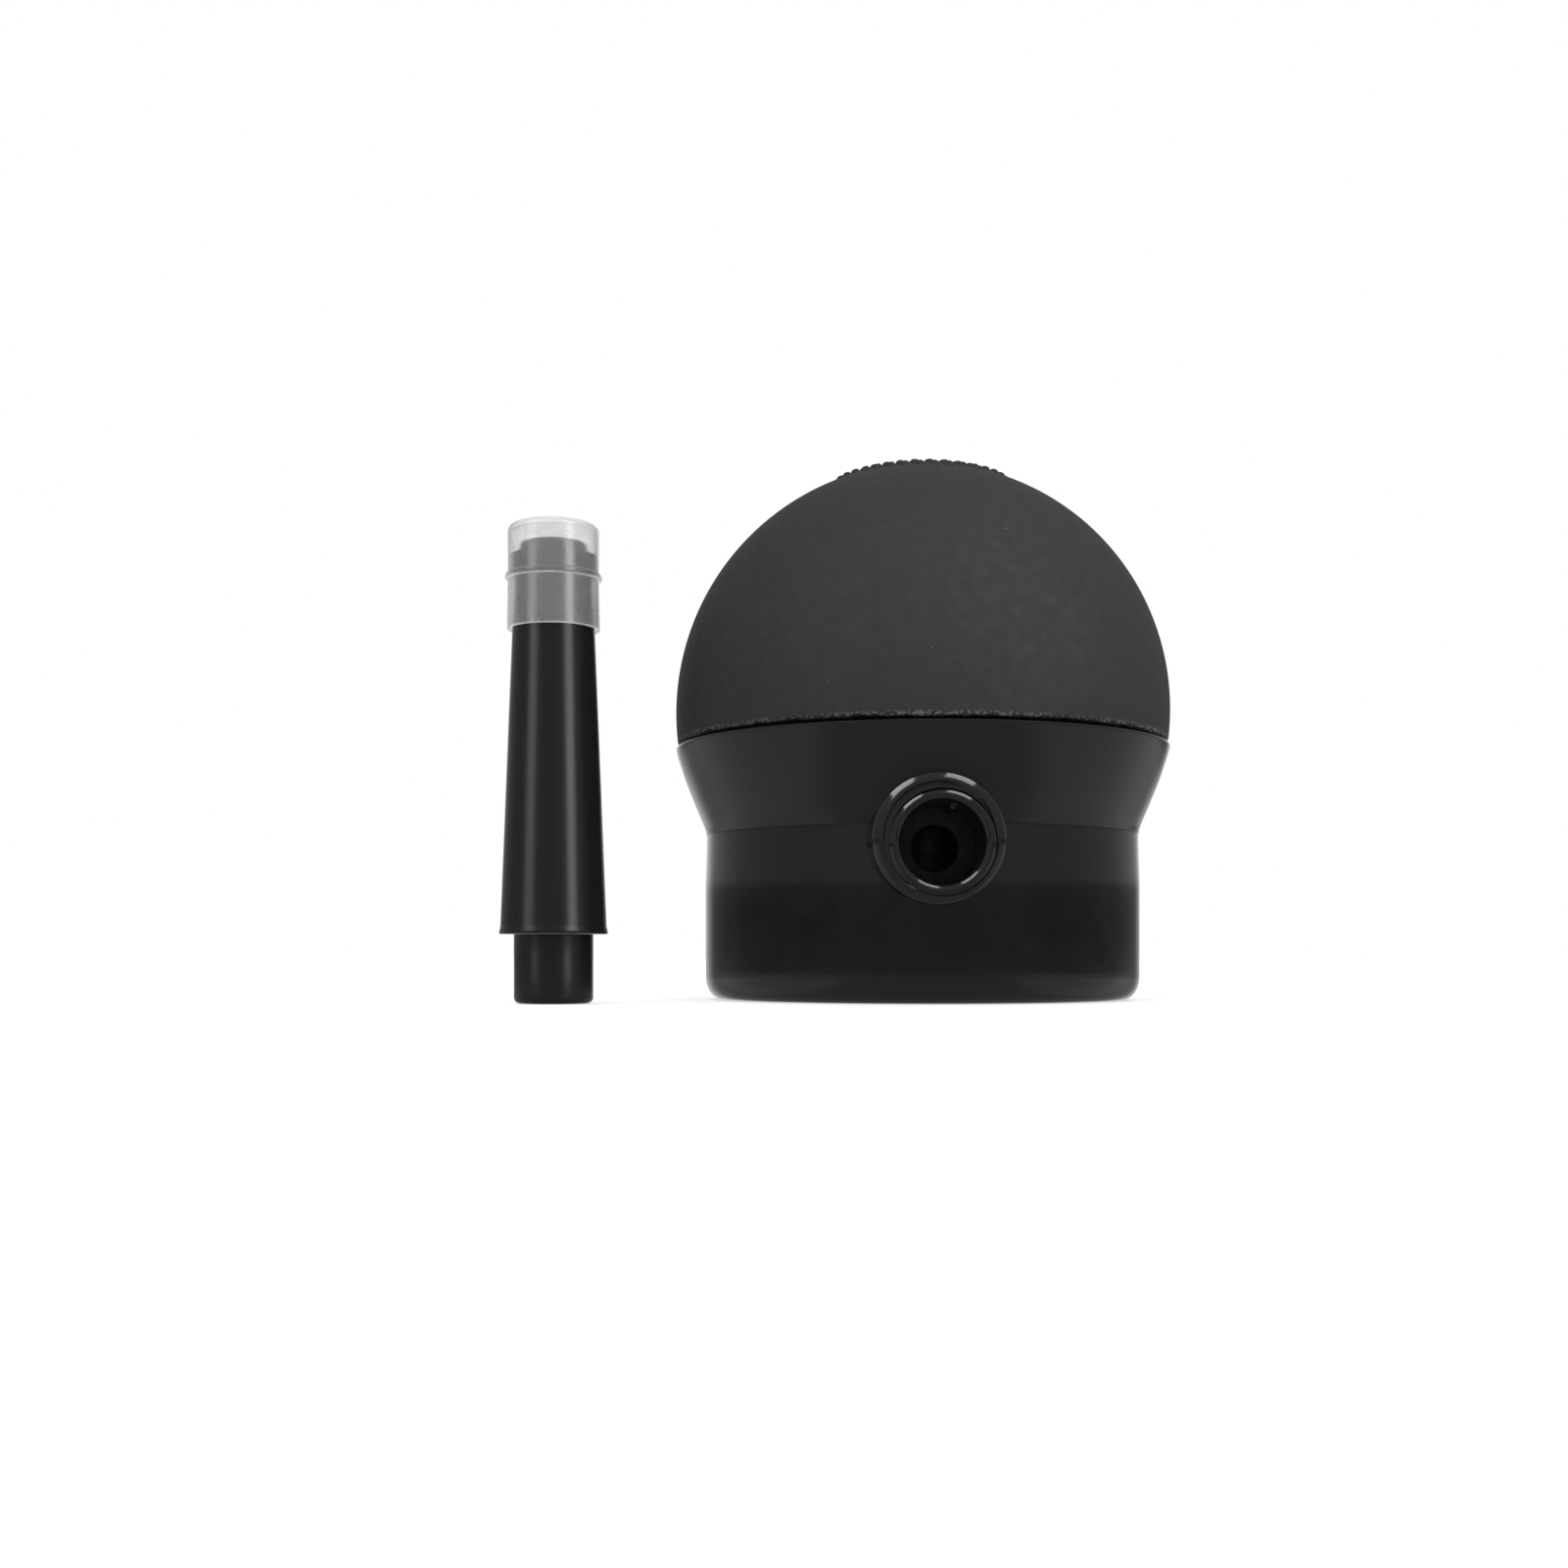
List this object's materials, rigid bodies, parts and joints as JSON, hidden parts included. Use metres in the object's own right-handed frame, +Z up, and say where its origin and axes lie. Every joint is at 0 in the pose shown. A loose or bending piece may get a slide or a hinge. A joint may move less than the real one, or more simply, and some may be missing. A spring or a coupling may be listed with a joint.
{
  "type": "squeeze-bulb powder blower",
  "caption": "Squeeze-bulb blower: rubber bulb on a black housing that screws onto a bottle, with a side port and a separate capped nozzle that plugs into it.",
  "frame": {"origin": "middle of the footprint of the pump and the standing nozzle, on the plane that both stand on", "axes": "+Z up along the pump's axis; the outlet port faces -Y; +X from the nozzle towards the pump"},
  "size_m": [0.0654, 0.0516, 0.0544],
  "materials": {
    "black_gloss": "glossy moulded black plastic",
    "black_satin": "satin moulded black plastic",
    "bulb_rubber": "matte, soft-touch",
    "seal_rubber": "smooth",
    "inner_plastic": "as moulded",
    "frosted_plastic": "frosted translucent"
  },
  "bodies": {
    "pump": {"housing": "black_gloss", "bulb": "bulb_rubber", "bulb_clamp_ring": "inner_plastic", "valve_plate": "inner_plastic", "intake_valve_cage": "inner_plastic", "intake_sieve": "inner_plastic", "air_tube": "inner_plastic", "port_sleeve": "black_gloss", "outlet_elbow": "inner_plastic", "port_seal": "seal_rubber", "bottle_gasket": "seal_rubber"},
    "crown": {"bulb_crown": "bulb_rubber"},
    "delivery_disc": {"delivery_valve": "seal_rubber"},
    "intake_disc": {"intake_valve": "seal_rubber"},
    "nozzle": {"nozzle_tube": "black_satin", "nozzle_tip": "black_satin"},
    "cap": {"nozzle_cap": "frosted_plastic"}
  },
  "joints": [
    {"name": "crown_press", "type": "slide", "parent": "pump", "child": "crown", "axis": [0, 0, -1], "range_m": [0, 0.015], "stiffness_N_per_m": 900, "deforming": ["bulb"]},
    {"name": "delivery_valve_open", "type": "slide", "parent": "pump", "child": "delivery_disc", "axis": [0, 0, -1], "range_m": [0, 0.001], "stiffness_N_per_m": 15},
    {"name": "intake_valve_open", "type": "slide", "parent": "pump", "child": "intake_disc", "axis": [0, 0, 1], "range_m": [0, 0.001], "stiffness_N_per_m": 15},
    {"name": "nozzle_lift", "type": "slide", "parent": "pump", "child": "nozzle", "axis": [0, 0, 1], "range_m": [0, 0.055]},
    {"name": "cap_pull", "type": "slide", "parent": "nozzle", "child": "cap", "axis": [0, 0, 1], "range_m": [0, 0.014]}
  ]
}
